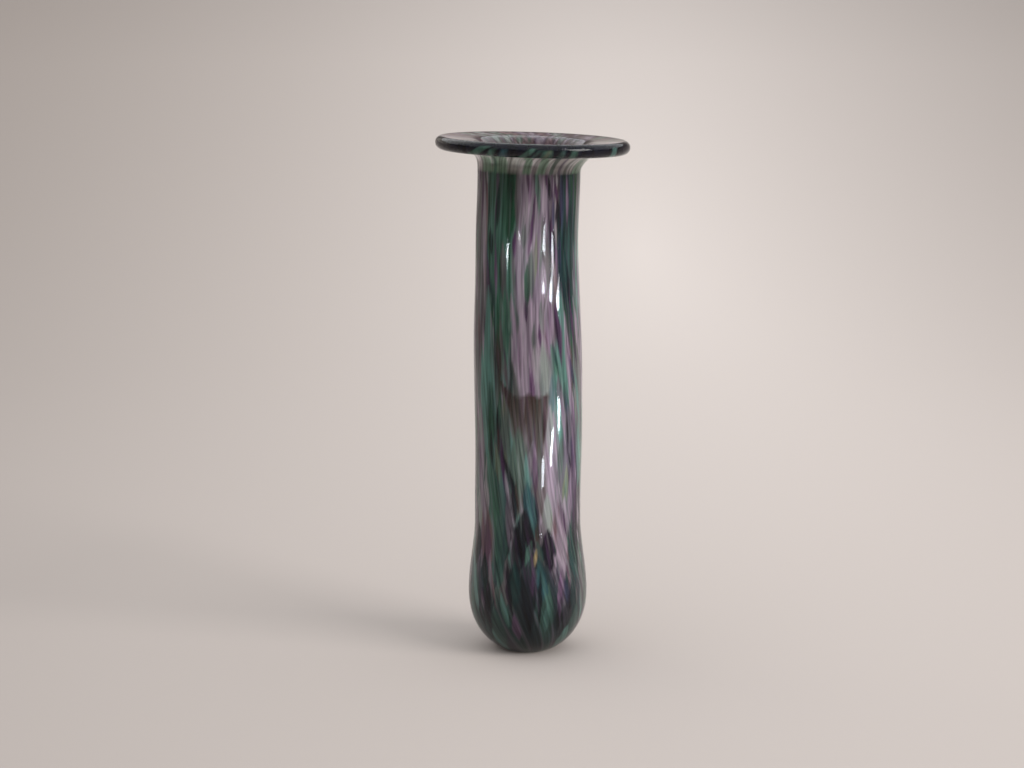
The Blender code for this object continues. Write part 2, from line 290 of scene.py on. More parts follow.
# Streaks on the bead's lower half: the glass, its angles in degrees from each face at the bottom and halfway
# up, and its width in mm
BEAD_FACES = (0, 150, 210)
BEAD_STREAK_TOP = 0.5
BEAD_STREAK_TOP_SPREAD = 0.06
BEAD_STREAK_SLIMMING = 0.7
BEAD_STREAK_EDGE = 1.2 * MM
BEAD_STREAK_FADE = 0.2
BEAD_STREAK_STRENGTH = 0.6
BEAD_STREAKS = (
    ("emerald", -42, -32, 6.4),
    ("emerald", -28, -24, 3.8),
    ("lagoon", -19, -17, 4.0),
    ("emerald", -8, -2, 4.0),
    ("spruce", -1, 3, 2.2),
    ("emerald", 7, 8, 5.4),
    ("olive", 6, 9, 2.4),
    ("spruce", 15, 17, 3.0),
    ("emerald", 23, 24, 3.4),
    ("teal", 54, 55, 4.0),
)

UNDERSIDE = HEIGHT - LIP_THICKNESS
FLARE_START = UNDERSIDE - FLARE_RADIUS
QUARTER = math.pi / 2


def eased(low, high, t):
    """low at t 0 and high at t 1, level at both ends."""
    t = np.clip(t, 0.0, 1.0)
    return low + (high - low) * t * t * (3 - 2 * t)


def through_knots(knots, place):
    """The value at place of a smooth run through (place, value) knots, level beyond both ends."""
    value = knots[0][1]
    for (low, low_value), (high, high_value) in zip(knots, knots[1:]):
        value = value + eased(0.0, high_value - low_value, (place - low) / (high - low))
    return value


def side_height(share):
    """The height at a share of the way from the bulb's widest ring to the flare."""
    return BULB_HEIGHT + (FLARE_START - BULB_HEIGHT) * share


SIDE_KNOTS = (
    (BULB_HEIGHT, BULB_RADIUS),
    (side_height(WAIST_SHARE), WAIST_RADIUS),
    (side_height(BELLY_SHARE), BELLY_RADIUS),
    (side_height(SHOULDER_SHARE), NECK_RADIUS),
)
SWAY_KNOTS = (
    (0.0, 0.0),
    (side_height(WAIST_SHARE), 0.0),
    (side_height(SWAY_BELLY_SHARE), BELLY_SWAY),
    (side_height(SWAY_SHOULDER_SHARE), SHOULDER_SWAY),
    (FLARE_START, COLLAR_SWAY),
    (UNDERSIDE, LIP_SHIFT),
)
TILT_KNOTS = (
    (0.0, 0.0),
    (side_height(SHOULDER_SHARE), 0.0),
    (UNDERSIDE, LIP_TILT),
)


def outer_radius(height):
    """The outer wall's radius at a height, below the flare."""
    foot_ratio = (FOOT_RADIUS / BULB_RADIUS) ** BULB_POWER
    full_depth = BULB_HEIGHT / (1 - foot_ratio) ** (1 / BULB_POWER)
    depth_ratio = np.clip((BULB_HEIGHT - height) / full_depth, 0.0, 1.0)
    bulb = BULB_RADIUS * (1 - depth_ratio**BULB_POWER) ** (1 / BULB_POWER)
    return np.where(height < BULB_HEIGHT, bulb, through_knots(SIDE_KNOTS, height))


def arc(centre, radius, start, end):
    """(radius, height) points on an arc, with both ends."""
    turn = np.linspace(start, end, ARC_STEPS + 1)
    return np.column_stack((centre[0] + radius * np.cos(turn), centre[1] + radius * np.sin(turn)))


def resampled(points, step):
    """The same line with even steps of about this length."""
    runs = np.hypot(*np.diff(points, axis=0).T)
    points = points[np.append(True, runs > SAME_PLACE)]
    along = np.append(0.0, np.cumsum(np.hypot(*np.diff(points, axis=0).T)))
    places = np.linspace(0.0, along[-1], max(round(along[-1] / step), 1) + 1)
    return np.column_stack([np.interp(places, along, column) for column in points.T])


def outer_wall():
    """The outer wall from the foot's middle, up the side and out under the lip."""
    heights = BULB_HEIGHT * (1 - np.cos(np.linspace(0, QUARTER, CURVE_STEPS)))
    bulb = np.column_stack((outer_radius(heights), heights))
    heights = np.linspace(BULB_HEIGHT, FLARE_START, SIDE_STEPS)
    side = np.column_stack((outer_radius(heights), heights))
    flare = arc((NECK_RADIUS + FLARE_RADIUS, FLARE_START), FLARE_RADIUS, math.pi, QUARTER)
    return np.vstack(([(0.0, 0.0)], bulb, side, flare, [(COLOUR_EDGE, UNDERSIDE)]))


def hollow_wall():
    """The inside, from the flat top of the lip down to the middle of the hollow's floor."""
    shoulder = FLOOR_HEIGHT + HOLLOW_END_HEIGHT
    mouth_start = HEIGHT - MOUTH_RADIUS

    def hollow_radius(height):
        share = (height - shoulder) / (side_height(WAIST_SHARE) - shoulder)
        return outer_radius(height) - eased(BULB_WALL_THICKNESS, WALL_THICKNESS, share)

    turn = np.linspace(0, QUARTER, ARC_STEPS)
    floor_rise = FLOOR_HEIGHT + HOLLOW_END_HEIGHT * (1 - np.cos(turn))
    floor = np.column_stack((hollow_radius(shoulder) * np.sin(turn), floor_rise))
    heights = np.linspace(shoulder, mouth_start, SIDE_STEPS)
    side = np.column_stack((hollow_radius(heights), heights))
    centre = (float(hollow_radius(mouth_start)) + MOUTH_RADIUS, mouth_start)
    mouth = arc(centre, MOUTH_RADIUS, math.pi, QUARTER)
    return np.vstack((floor, side, mouth))[::-1]


def hand_made(points):
    """Where points of the true turned form lie on the hand-made vase, as an array of (x, y, z)."""
    x, y, z = points.T
    moved_x = x + through_knots(SWAY_KNOTS, z)
    return np.column_stack((moved_x, y, z - x * np.tan(through_knots(TILT_KNOTS, z))))


def placed(name, data):
    """A new object with this data, in the scene."""
    thing = bpy.data.objects.new(name, data)
    bpy.context.scene.collection.objects.link(thing)
    return thing


def ring_angles(sides):
    """The angles of this many points round the axis."""
    return np.arange(sides) * (2 * math.pi / sides)


def turned(name, profile, sides, ripple=None):
    """A closed shell turned from a profile that starts and ends on the axis. Angle 0 is the front.

    ripple gives how far a point moves outward, from its height and its angle.
    """
    angles = ring_angles(sides)
    inner = profile[1:-1]
    radius = np.repeat(inner[:, :1], sides, axis=1)
    height = np.repeat(inner[:, 1:], sides, axis=1)
    if ripple is not None:
        run = np.gradient(profile, axis=0)[1:-1]
        run /= np.linalg.norm(run, axis=1)[:, None]
        depth = ripple(height, angles[None, :])
        radius = radius + run[:, 1:] * depth
        height = height - run[:, :1] * depth
    rings = np.stack((radius * np.sin(angles), -radius * np.cos(angles), height), axis=2)
    ends = np.array([(0.0, 0.0, profile[0, 1]), (0.0, 0.0, profile[-1, 1])])
    points = hand_made(np.vstack((rings.reshape(-1, 3), ends)))

    rows = len(inner)
    first = np.arange(rows * sides).reshape(rows, sides)
    after = np.roll(first, -1, axis=1)
    quads = np.stack((first[:-1], after[:-1], after[1:], first[1:]), axis=2).reshape(-1, 4)
    start, end = rows * sides, rows * sides + 1
    faces = quads.tolist()
    faces += [(start, b, a) for a, b in zip(first[0].tolist(), after[0].tolist())]
    faces += [(end, a, b) for a, b in zip(first[-1].tolist(), after[-1].tolist())]

    mesh = bpy.data.meshes.new(name)
    mesh.from_pydata(points.tolist(), [], faces)
    mesh.shade_smooth()
    return placed(name, mesh)


def add_point_colours(mesh, name, colours):
    layer = mesh.color_attributes.new(name, "FLOAT_COLOR", "POINT")
    layer.data.foreach_set("color", colours.astype(np.float32).ravel())


def add_point_vectors(mesh, name, vectors):
    layer = mesh.attributes.new(name, "FLOAT_VECTOR", "POINT")
    layer.data.foreach_set("vector", vectors.astype(np.float32).ravel())


# The clear glass

LIP_CENTRE = (LIP_RADIUS - LIP_THICKNESS / 2, HEIGHT - LIP_THICKNESS / 2)


def dished(points):
    """The top of the lip, sunk a little towards the mouth."""
    radius, height = points.T
    top = eased(0.0, 1.0, (height - HEIGHT + MOUTH_RADIUS) / MOUTH_RADIUS)
    inward = eased(0.0, 1.0, (DISH_START - radius) / (DISH_START - DISH_END))
    return np.column_stack((radius, height - DISH_DEPTH * top * inward))


def clear_profile():
    """The clear glass from the middle of the foot, up round the bead and down to the hollow's floor."""
    wall = resampled(outer_wall(), CLEAR_STEP)
    bead = resampled(arc(LIP_CENTRE, LIP_THICKNESS / 2, -QUARTER, QUARTER), LIP_STEP)
    hollow = resampled(dished(np.vstack(([LIP_CENTRE[0], HEIGHT], hollow_wall()))), CLEAR_STEP)
    return np.vstack((wall[:-1], bead, hollow[1:]))


def blown_ripple(height, angle):
    """The slight unevenness of blown glass, in metres, outward."""
    wave = sum(depth * np.sin(around * angle + up * height + phase) for depth, around, up, phase in RIPPLES)
    fade = eased(0, 1, height / RIPPLE_FOOT_FADE) * eased(1, 0, (height - FLARE_START) / RIPPLE_LIP_FADE)
    return wave * MM * fade


clear_glass = turned("clear_glass", clear_profile(), CLEAR_SIDES, blown_ripple)

# The layer of coloured glass

wall_line = resampled(outer_wall(), COLOUR_STEP)
direction = np.gradient(wall_line, axis=0)
direction /= np.linalg.norm(direction, axis=1)[:, None]
into_glass = np.column_stack((-direction[:, 1], direction[:, 0]))
into_glass[0] = (0.0, 1.0)
middle_line = wall_line + into_glass * COLOUR_DEPTH
outer_line = middle_line - into_glass * COLOUR_THICKNESS / 2
inner_line = middle_line + into_glass * COLOUR_THICKNESS / 2
roll = resampled(arc(LIP_CENTRE, ROLL_RADIUS, -QUARTER, QUARTER), LIP_STEP)

ROWS = len(middle_line)
ALONG = np.append(0.0, np.cumsum(np.hypot(*np.diff(middle_line, axis=0).T)))
SHARE = ALONG / ALONG[-1]
RADII = np.maximum(middle_line[:, 0], 1 * MM)
HEIGHTS = middle_line[:, 1]
ANGLES = ring_angles(COLOUR_SIDES)


def lean(share):
    """How far the colour has turned about the axis by this share of its length."""
    body = BODY_TWIST * (1 - np.minimum(share / BODY_TWIST_SHARE, 1.0)) ** 2
    return body + eased(0.0, LIP_TWIST, (share - LIP_TWIST_SHARE) / (1 - LIP_TWIST_SHARE))


FLOW = ANGLES[None, :] - lean(SHARE)[:, None]


def wrapped(angle):
    """The same angle from -pi to pi."""
    return (angle + math.pi) % (2 * math.pi) - math.pi


FACING = wrapped(ANGLES)
WARP = sum(
    depth * np.sin(around * FLOW + up * SHARE[:, None] + phase) for depth, around, up, phase in WARPS
)

random = np.random.default_rng(SEED)


def drawn_grain(length, width):
    """Noise drawn out along the flow, from -1 to 1 or so, on every point of the layer."""
    grain = random.normal(size=(ROWS, COLOUR_SIDES))
    spread = np.exp(-0.5 * (np.fft.fftfreq(ROWS) * 2 * math.pi * length / COLOUR_STEP) ** 2)
    across = width / (2 * math.pi * BELLY_RADIUS / COLOUR_SIDES)
    narrow = np.exp(-0.5 * (np.fft.fftfreq(COLOUR_SIDES) * 2 * math.pi * across) ** 2)
    grain = np.fft.ifft2(np.fft.fft2(grain) * spread[:, None] * narrow[None, :]).real
    grain /= 2 * grain.std()
    places = FLOW / (2 * math.pi) * COLOUR_SIDES
    columns = np.arange(COLOUR_SIDES)
    return np.array([np.interp(p, columns, row, period=COLOUR_SIDES) for p, row in zip(places, grain)])


FEATHER = drawn_grain(length=14 * MM, width=0.3 * MM)
CLOUDS = drawn_grain(length=9 * MM, width=2.5 * MM)
canvas = np.ones((ROWS, COLOUR_SIDES, 3)) * GLASSES["opal"]
clarity = np.zeros((ROWS, COLOUR_SIDES))
ground = np.full((ROWS, COLOUR_SIDES), "opal", dtype="<U12")


def lay(glass, cover):
    """Lays glass over the whole canvas, where cover runs from 0 for none to 1 for only this glass."""
    canvas[:] += (np.array(GLASSES[glass]) - canvas) * cover[:, :, None]
    ground[cover > 0.5] = glass


def paint(rows, reach, line, glass, width, strength, belly=0.0, feather=0.6 * MM, shade=1.0, mass=True):
    """Paints one streak on these rows. reach runs from -1 to 1 along it, and line is its angle on each row.

    belly is the reach at which the streak is widest.
    """
    taper = (reach - belly) / np.where(reach > belly, 1 - belly, 1 + belly)
    slimness = np.clip(1 - np.abs(taper) ** TAPER_POWER, 0, 1)
    turn = wrapped(ANGLES[None, :] + WARP[rows] - line[:, None])
    across = np.abs(turn) * RADII[rows][:, None]
    frayed = width / 2 + feather * FEATHER[rows]
    edge = max(STREAK_EDGE, SOFT_EDGE_SHARE * width)
    cover = np.clip((slimness[:, None] * frayed - across) / edge + 0.5, 0, 1)
    colour = np.array(GLASSES[glass]) * shade
    canvas[rows] += (colour - canvas[rows]) * cover[:, :, None] * strength
    if mass:
        ground[rows] = np.where(cover > 0.5, glass, ground[rows])


def paint_along(glass, angle, along, length, width, strength, wind=1.0, slant=0.0, **more):
    """Paints a streak through an angle and a place along the wall.

    It winds as much as the flow where wind is 1, and slant is the angle at which it crosses that line.
    """
    rows = slice(*np.searchsorted(ALONG, (along - length / 2, along + length / 2)))
    away = ALONG[rows] - along
    winding = lean(SHARE[rows]) - lean(along / ALONG[-1])
    line = angle + wind * winding + away * math.tan(slant) / RADII[rows]
    paint(rows, away / (length / 2), line, glass, width, strength, **more)


def paint_between(glass, top, bottom, width, strength, face, belly=0.0, **more):
    """Paints a streak between two places on the side, each an angle in degrees and a height in mm.

    The angle is from the middle of a face of the vase: 0 is the front, and 180 is the back.
    """
    rows = slice(*np.searchsorted(HEIGHTS, (bottom[1] * MM, top[1] * MM)))
    climb = np.interp(HEIGHTS[rows], (bottom[1] * MM, top[1] * MM), (-1, 1))
    line = np.radians(face + np.interp(climb, (-1, 1), (bottom[0], top[0])))
    paint(rows, climb, line, glass, width * MM, strength, belly, **more)


def nearest_share(radius, height):
    """The share of the layer's length at which it passes nearest a point."""
    gap = np.hypot(middle_line[:, 0] - radius, middle_line[:, 1] - height)
    return SHARE[gap.argmin()]


def streak_place(node):
    """Where a CAD streak lies: its place round the flow, half its width as an angle, and its two ends."""
    points = np.array([vertex.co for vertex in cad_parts[node].data.vertices])
    x, y, z = points.T
    upright = z + x * np.tan(through_knots(TILT_KNOTS, z))
    x = x - through_knots(SWAY_KNOTS, upright)
    share = np.array([nearest_share(r, h) for r, h in zip(np.hypot(x, y), upright)])
    flow = np.arctan2(x, -y) - lean(share)
    middle = math.atan2(np.sin(flow).mean(), np.cos(flow).mean())
    half = np.abs(wrapped(flow - middle)).max()
    return middle, half, share.min(), share.max()


STREAKS = sorted(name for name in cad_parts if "_streak_" in name)

# Streaks read off the photograph's front: the glass, the top and the bottom as an angle from the front
# in degrees and a height in mm, the width in mm, how strong the streak is, and its belly where that isn't 0
UPPER_STREAKS = (
    ("emerald", (-36, 240), (-34, 150), 15.0, 0.85),
    ("ash", (-62, 235), (-64, 110), 8.0, 0.8),
    ("deep_teal", (50, 240), (54, 140), 13.0, 0.85),
    ("taupe", (22, 222), (26, 180), 6.0, 0.8),
    ("ash", (66, 160), (74, 90), 8.0, 0.8),
    ("emerald", (-38, 170), (-34, 105), 6.0, 0.6),
    ("ash", (-66, 220), (-70, 165), 5.0, 0.85),
    ("amethyst", (-62, 218), (-64, 194), 2.2, 0.7),
    ("rose", (-56, 214), (-53, 176), 2.4, 0.85),
    ("indigo", (-52, 214), (-50, 190), 1.2, 0.7),
    ("pearl", (-60, 214), (-57, 166), 3.0, 0.7),
    ("emerald", (-46, 222), (-45, 192), 3.4, 0.9),
    ("amethyst", (-40, 220), (-39, 206), 1.6, 0.8),
    ("indigo", (-37, 212), (-36, 192), 2.0, 0.75),
    ("plum", (-39, 208), (-39, 194), 1.0, 0.7),
    ("forest", (-22, 226), (-22, 183), 7.2, 0.95, 0.3),
    ("emerald", (-29, 222), (-27, 186), 2.2, 0.8),
    ("indigo", (-22, 213), (-21, 203), 1.6, 0.5),
    ("ash", (-14, 219), (-13, 192), 2.6, 0.8),
    ("plum", (-10, 218), (-9, 204), 0.8, 0.7),
    ("opal", (-1, 220), (-2, 184), 5.8, 0.95),
    ("plum", (-7, 216), (-8, 196), 0.9, 0.8),
    ("amethyst", (1, 216), (-1, 202), 1.2, 0.7),
    ("sage", (-6, 200), (-7, 188), 1.2, 0.6),
    ("plum", (-3, 221), (-2, 207), 1.4, 0.8),
    ("pearl", (-5, 207), (-4, 195), 1.6, 0.5),
    ("amethyst", (4, 199), (2, 180), 2.0, 0.7),
    ("plum", (7, 212), (4, 184), 1.7, 0.9),
    ("emerald", (5, 221), (13, 198), 2.6, 0.9),
    ("sage", (10, 216), (12, 194), 1.6, 0.6),
    ("opal", (17, 218), (18, 196), 3.0, 0.85),
    ("plum", (16, 222), (22, 208), 1.6, 0.95),
    ("indigo", (22, 216), (27, 203), 2.6, 0.95, -0.3),
    ("ash", (27, 206), (27, 192), 2.4, 0.8),
    ("opal", (20, 205), (22, 188), 1.4, 0.8),
    ("indigo", (24, 201), (26, 185), 1.2, 0.85),
    ("navy", (29, 207), (30, 190), 1.4, 0.8),
    ("pearl", (34, 217), (35, 210), 1.2, 0.8),
    ("plum", (31, 214), (36, 202), 1.8, 0.9),
    ("indigo", (35, 206), (37, 188), 3.0, 0.9),
    ("navy", (41, 220), (43, 188), 2.2, 0.85),
    ("amethyst", (48, 216), (52, 192), 1.8, 0.8),
    ("opal", (49, 210), (51, 194), 0.9, 0.7),
    ("deep_teal", (58, 220), (62, 180), 5.0, 0.9),
    ("forest", (54, 222), (60, 200), 1.6, 0.8),
    ("ash", (73, 220), (76, 165), 3.0, 0.8),
    ("indigo", (-46, 193), (-44, 180), 2.4, 0.85),
    ("forest", (-50, 190), (-46, 176), 1.6, 0.7),
    ("plum", (-51, 180), (-50, 157), 2.2, 0.8),
    ("rose", (-57, 180), (-56, 162), 1.6, 0.6),
    ("amethyst", (-38, 186), (-38, 160), 1.8, 0.85),
    ("ash", (-29, 187), (-27, 160), 3.8, 0.85),
    ("forest", (-33, 182), (-31, 164), 1.6, 0.7),
    ("emerald", (-20, 180), (-20, 160), 2.2, 0.9),
    ("plum", (-15, 192), (-14, 179), 1.9, 0.9),
    ("sage", (-4, 195), (-4, 183), 2.0, 0.7),
    ("opal", (-8, 179), (-8, 150), 4.2, 0.9),
    ("amethyst", (-11, 177), (-10, 160), 1.0, 0.6),
    ("forest", (1, 178), (0, 157), 2.2, 0.9),
    ("taupe", (9, 184), (8, 148), 2.6, 0.6),
    ("olive", (10, 191), (8, 167), 2.1, 0.85),
    ("sage", (5, 184), (5, 161), 3.0, 0.8),
    ("opal", (17, 179), (18, 157), 3.6, 0.85),
    ("plum", (27, 198), (25, 179), 1.6, 0.9),
    ("indigo", (30, 193), (33, 175), 2.0, 0.9),
    ("amethyst", (33, 188), (36, 171), 1.2, 0.7),
    ("navy", (38, 191), (42, 171), 2.2, 0.85),
    ("deep_teal", (46, 186), (50, 157), 5.4, 0.9),
    ("indigo", (51, 178), (54, 157), 2.4, 0.85),
    ("taupe", (66, 186), (68, 158), 2.2, 0.8),
    ("opal", (62, 173), (66, 158), 1.0, 0.7),
    ("ash", (-72, 160), (-74, 101), 3.0, 0.8),
    ("rose", (-68, 155), (-66, 139), 2.2, 0.8),
    ("plum", (-63, 163), (-62, 146), 1.2, 0.6),
    ("teal", (-50, 167), (-52, 94), 8.6, 0.95, -0.4),
    ("forest", (-43, 128), (-44, 88), 1.8, 0.7, -0.3),
    ("indigo", (-41, 168), (-38, 117), 1.6, 0.7),
    ("umber", (-36, 157), (-34, 114), 2.4, 0.85),
    ("forest", (-36, 164), (-34, 138), 2.0, 0.8),
    ("emerald", (-26, 168), (-23, 126), 4.4, 0.9),
    ("forest", (-25, 157), (-23, 136), 1.6, 0.6),
    ("deep_teal", (-23, 138), (-20, 114), 2.6, 0.75),
    ("rose", (-32, 153), (-30, 137), 1.0, 0.6),
    ("opal", (-17, 165), (-15, 138), 2.0, 0.85),
    ("sage", (-13, 162), (-13, 137), 1.0, 0.6),
    ("opal", (-6, 160), (-6, 112), 6.6, 0.95),
    ("amethyst", (-9, 152), (-8, 127), 1.2, 0.5),
    ("plum", (-1, 163), (-1, 151), 1.5, 0.95),
    ("opal", (6, 162), (5, 135), 4.6, 0.9),
    ("sage", (8, 152), (7, 137), 1.9, 0.8),
    ("sage", (16, 162), (17, 147), 2.4, 0.75),
    ("plum", (14, 152), (15, 139), 1.7, 0.95),
    ("opal", (25, 167), (25, 137), 3.6, 0.9),
    ("opal", (18, 147), (20, 133), 2.2, 0.8),
    ("plum", (32, 161), (40, 131), 3.0, 0.95),
    ("indigo", (31, 159), (36, 139), 1.2, 0.8),
    ("mist", (17, 144), (19, 112), 6.4, 0.95, -0.3),
    ("pearl", (8, 142), (8, 119), 4.0, 0.6, 0.3),
    ("opal", (8, 127), (9, 110), 3.6, 0.8),
    ("amethyst", (3, 130), (4, 110), 1.8, 0.95),
    ("plum", (1, 132), (2, 115), 0.8, 0.8),
    ("ash", (-9, 136), (-9, 127), 1.3, 0.8),
    ("sage", (14, 132), (14, 112), 1.2, 0.6),
    ("aqua", (26, 129), (26, 111), 4.2, 0.9, -0.3),
    ("emerald", (25, 143), (38, 123), 2.6, 0.9),
    ("deep_teal", (28, 143), (36, 127), 1.4, 0.85),
    ("taupe", (34, 129), (40, 110), 3.4, 0.85),
    ("indigo", (50, 168), (56, 155), 2.0, 0.9),
    ("forest", (43, 162), (58, 135), 1.8, 0.85),
    ("opal", (44, 156), (54, 116), 3.0, 0.9),
    ("plum", (52, 164), (66, 129), 2.0, 0.9),
    ("opal", (60, 162), (78, 125), 3.2, 0.9),
    ("ash", (70, 165), (82, 137), 2.2, 0.8),
    ("navy", (51, 137), (61, 120), 2.0, 0.95),
    ("plum", (46, 148), (52, 129), 1.0, 0.8),
    ("opal", (50, 128), (60, 100), 3.0, 0.9),
    ("teal", (60, 130), (74, 103), 2.2, 0.8),
    ("ash", (76, 134), (80, 102), 2.0, 0.8),
    ("amethyst", (55, 118), (60, 102), 1.2, 0.8),
    ("navy", (44, 124), (48, 103), 2.0, 0.8),
)
LOWER_STREAKS = (
    ("spruce", (-46, 125), (-36, 35), 15.0, 0.85),
    ("taupe", (48, 115), (50, 55), 12.0, 0.8),
    ("opal", (30, 110), (26, 55), 7.0, 0.45),
    ("ash", (-74, 110), (-76, 68), 2.6, 0.8),
    ("opal", (-66, 102), (-62, 64), 2.6, 0.85),
    ("pearl", (-54, 92), (-51, 58), 3.6, 0.8),
    ("amethyst", (-68, 98), (-66, 78), 1.2, 0.7),
    ("teal", (-56, 114), (-54, 90), 3.6, 0.8),
    ("forest", (-46, 118), (-45, 88), 3.8, 0.8),
    ("forest", (-33, 122), (-31, 96), 3.0, 0.8),
    ("sage", (-29, 121), (-20, 92), 3.6, 0.9),
    ("olive", (-28, 120), (-25, 104), 2.4, 0.85),
    ("indigo", (-45, 104), (-44, 84), 2.0, 0.85),
    ("emerald", (-52, 96), (-44, 68), 4.6, 0.9),
    ("emerald", (-46, 82), (-34, 43), 5.6, 0.9),
    ("forest", (-40, 86), (-34, 58), 2.0, 0.6),
    ("spruce", (-36, 66), (-26, 38), 6.0, 0.85),
    ("olive", (-38, 98), (-34, 79), 2.8, 0.7),
    ("indigo", (-36, 114), (-34, 97), 2.2, 0.95),
    ("maroon", (-35, 106), (-34, 91), 1.4, 0.9),
    ("sage", (-26, 114), (-25, 83), 4.4, 0.85),
    ("olive", (-26, 96), (-24, 85), 1.4, 0.7),
    ("plum", (-31, 102), (-28, 77), 1.8, 0.95),
    ("sage", (-11, 106), (-10, 73), 9.0, 0.95, -0.2),
    ("teal", (-3, 94), (3, 71), 3.6, 0.85),
    ("indigo", (-29, 94), (-10, 67), 2.4, 0.95),
    ("opal", (-27, 86), (-23, 69), 1.3, 0.85),
    ("taupe", (-25, 76), (-22, 51), 2.8, 0.8),
    ("lagoon", (-1, 82), (8, 55), 6.4, 0.95, 0.1),
    ("umber", (-14, 82), (-12, 63), 2.0, 0.8),
    ("indigo", (-19, 80), (-15, 61), 2.8, 0.9),
    ("opal", (4, 100), (7, 79), 4.6, 0.6),
    ("plum", (7, 94), (10, 75), 3.0, 0.6),
    ("indigo", (9, 80), (12, 55), 1.4, 0.8),
    ("umber", (15, 114), (16, 97), 2.4, 0.85),
    ("mist", (24, 116), (24, 90), 3.6, 0.8),
    ("opal", (38, 122), (43, 96), 2.8, 0.85),
    ("opal", (27, 98), (28, 63), 3.8, 0.8),
    ("mist", (22, 76), (24, 55), 4.8, 0.9),
    ("olive", (27, 68), (28, 56), 1.6, 0.5),
    ("sage", (37, 102), (36, 79), 3.4, 0.85),
    ("indigo", (45, 110), (46, 91), 2.0, 0.9),
    ("olive", (46, 88), (46, 65), 3.4, 0.85),
    ("emerald", (46, 84), (47, 63), 1.4, 0.7),
    ("navy", (52, 100), (58, 83), 3.0, 0.9),
    ("indigo", (47, 94), (58, 81), 1.8, 0.9),
    ("teal", (70, 106), (70, 75), 4.2, 0.85),
    ("opal", (54, 86), (56, 59), 2.4, 0.85),
    ("indigo", (66, 86), (64, 29), 4.4, 0.9),
    ("plum", (60, 112), (60, 56), 7.0, 0.45),
    ("opal", (46, 74), (36, 31), 7.6, 0.8, 0.1),
    ("pearl", (44, 66), (40, 41), 3.0, 0.2),
    ("deep_teal", (55, 62), (52, 24), 4.8, 0.8),
    ("plum", (38, 42), (34, 22), 4.0, 0.6),
    ("indigo", (38, 74), (50, 55), 1.8, 0.9),
    ("plum", (41, 70), (50, 53), 1.6, 0.9),
    ("rose", (-55, 72), (-44, 33), 8.0, 0.9, 0.1),
    ("plum", (-52, 64), (-44, 36), 3.6, 0.6),
    ("opal", (-57, 74), (-54, 59), 2.2, 0.8),
    ("rose", (-60, 68), (-56, 49), 1.6, 0.8),
    ("opal", (-45, 47), (-34, 25), 2.2, 0.6),
    ("rose", (-41, 42), (-33, 23), 1.6, 0.8),
    ("deep_teal", (-58, 47), (-56, 22), 4.0, 0.8),
    # These indigo streaks paint the near-black ovals on the bulb: a painted reflection of the hollow's floor,
    # seen through the glass
    ("indigo", (0, 60), (2, 11), 7.6, 0.9),
    ("indigo", (-14, 62), (-8, 38), 5.4, 0.9),
    ("indigo", (-4, 69), (-5, 44), 10.4, 0.98),
    ("indigo", (22, 60), (23, 40), 7.8, 0.98),
    ("umber", (10, 63), (9, 49), 2.0, 0.9),
    ("emerald", (3, 55), (-3, 43), 2.6, 0.65),
    ("spruce", (8, 55), (15, 44), 2.4, 0.65),
    ("deep_teal", (-13, 46), (-12, 23), 6.0, 0.9),
    ("lagoon", (11, 46), (17, 25), 5.2, 0.95),
    # A painted glint: the small golden highlight on the bulb
    ("gold", (8, 51), (6, 43), 1.1, 0.95),
    ("spruce", (18, 31), (21, 8), 7.6, 0.95),
    ("teal", (20, 27), (21, 13), 3.0, 0.5),
    ("plum", (4, 43), (5, 29), 1.4, 0.6),
    ("indigo", (12, 43), (12, 15), 2.0, 0.9),
    ("indigo", (-22, 46), (-14, 19), 2.6, 0.9),
    ("spruce", (-32, 48), (-28, 33), 5.0, 0.85),
    ("teal", (-27, 32), (-20, 15), 3.2, 0.8),
    ("indigo", (-47, 38), (-44, 21), 5.4, 0.85),
    ("deep_teal", (-52, 48), (-48, 29), 4.4, 0.85),
    ("spruce", (-36, 25), (-32, 5), 8.0, 0.9),
    ("amethyst", (-13, 22), (-11, 9), 4.0, 0.8),
    ("amethyst", (36, 42), (32, 23), 2.4, 0.8),
    ("navy", (39, 37), (44, 23), 3.4, 0.8),
    ("indigo", (34, 28), (36, 13), 4.0, 0.85),
    ("indigo", (46, 31), (43, 8), 6.0, 0.65),
    ("plum", (33, 29), (35, 19), 1.6, 0.7),
    ("deep_teal", (50, 37), (52, 19), 4.0, 0.8),
    ("teal", (48, 15), (52, 2), 5.4, 0.85),
    ("ash", (68, 48), (66, 19), 5.0, 0.85),
    ("sage", (76, 42), (74, 17), 3.0, 0.7),
    ("emerald", (-70, 36), (-66, 15), 3.4, 0.7),
    ("ash", (-72, 68), (-74, 43), 3.0, 0.8),
    ("indigo", (-66, 52), (-62, 33), 2.2, 0.7),
)


def paint_face(streaks, face):
    """Paints a table of streaks on the face of the vase at this angle in degrees."""
    for glass, top, bottom, width, strength, *belly in streaks:
        feather = (FRAY + FRAY_SHARE * width) * MM
        paint_between(glass, top, bottom, width, strength, face, *belly, feather=feather)


def paint_cad_streaks():
    """Each streak of the CAD, drawn out so that it runs in among its neighbours."""
    for node in STREAKS:
        middle, half, start, end = streak_place(node)
        glass = node.split("_")[0]
        share = (start + end) / 2
        length = (end - start) * ALONG[-1] * CAD_STREAK_STRETCH
        width = CAD_STREAK_SPREAD * half * BELLY_RADIUS
        place = (middle + lean(share), share * ALONG[-1])
        paint_along(glass, *place, length, width, CAD_STREAK_STRENGTH, feather=CAD_STREAK_FEATHER)


def paint_dark_bulb():
    """Dark glass all round the bulb, with a cloudy upper edge."""
    edge = (DARK_BULB_HEIGHT - HEIGHTS[:, None] + DARK_BULB_CLOUDS * CLOUDS) / DARK_BULB_EDGE
    lay("deep_teal", DARK_BULB_STRENGTH * np.clip(edge, 0, 1))


